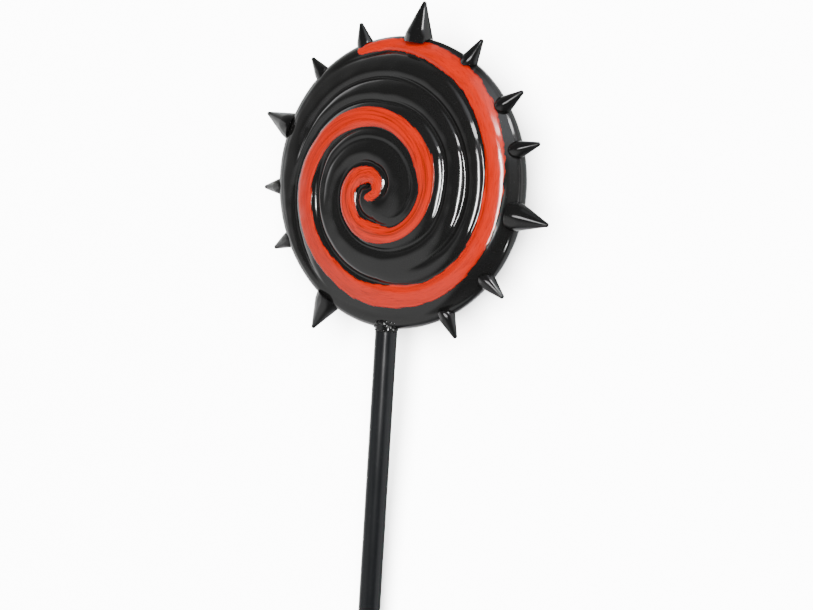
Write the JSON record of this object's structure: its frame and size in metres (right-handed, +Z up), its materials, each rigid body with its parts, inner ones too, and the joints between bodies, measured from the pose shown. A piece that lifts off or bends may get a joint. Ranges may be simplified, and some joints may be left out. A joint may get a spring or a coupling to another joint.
{
  "type": "spiked plastic swirl lollipop costume prop",
  "caption": "Rigid plastic swirl lollipop costume prop: a domed round head with a painted spiral ridge, a ring of cone spikes on its rim and a plain round stick.",
  "frame": {"origin": "the middle of the small flat spot under the head, on the surface that the lollipop lies on", "axes": "+Z up, out of the painted face; -Y along the stick, from the head to its end; +X to the right as seen from above with the stick towards the viewer"},
  "size_m": [0.2474, 0.5613, 0.0615],
  "materials": {
    "black_gloss_plastic": "gloss black moulded plastic, its swirl ridge brushed with orange-red paint",
    "black_spike_plastic": "gloss black moulded plastic cones",
    "black_stick_plastic": "semi-gloss black plastic tube"
  },
  "bodies": {
    "root": {"head_front": "black_gloss_plastic", "head_back": "black_gloss_plastic", "neck": "black_gloss_plastic", "stick": "black_stick_plastic", "large_spike_1": "black_spike_plastic", "large_spike_2": "black_spike_plastic", "large_spike_3": "black_spike_plastic", "large_spike_4": "black_spike_plastic", "small_spike_1": "black_spike_plastic", "small_spike_2": "black_spike_plastic", "small_spike_3": "black_spike_plastic", "small_spike_4": "black_spike_plastic", "small_spike_5": "black_spike_plastic", "small_spike_6": "black_spike_plastic", "small_spike_7": "black_spike_plastic", "small_spike_8": "black_spike_plastic", "small_spike_9": "black_spike_plastic"}
  },
  "joints": []
}
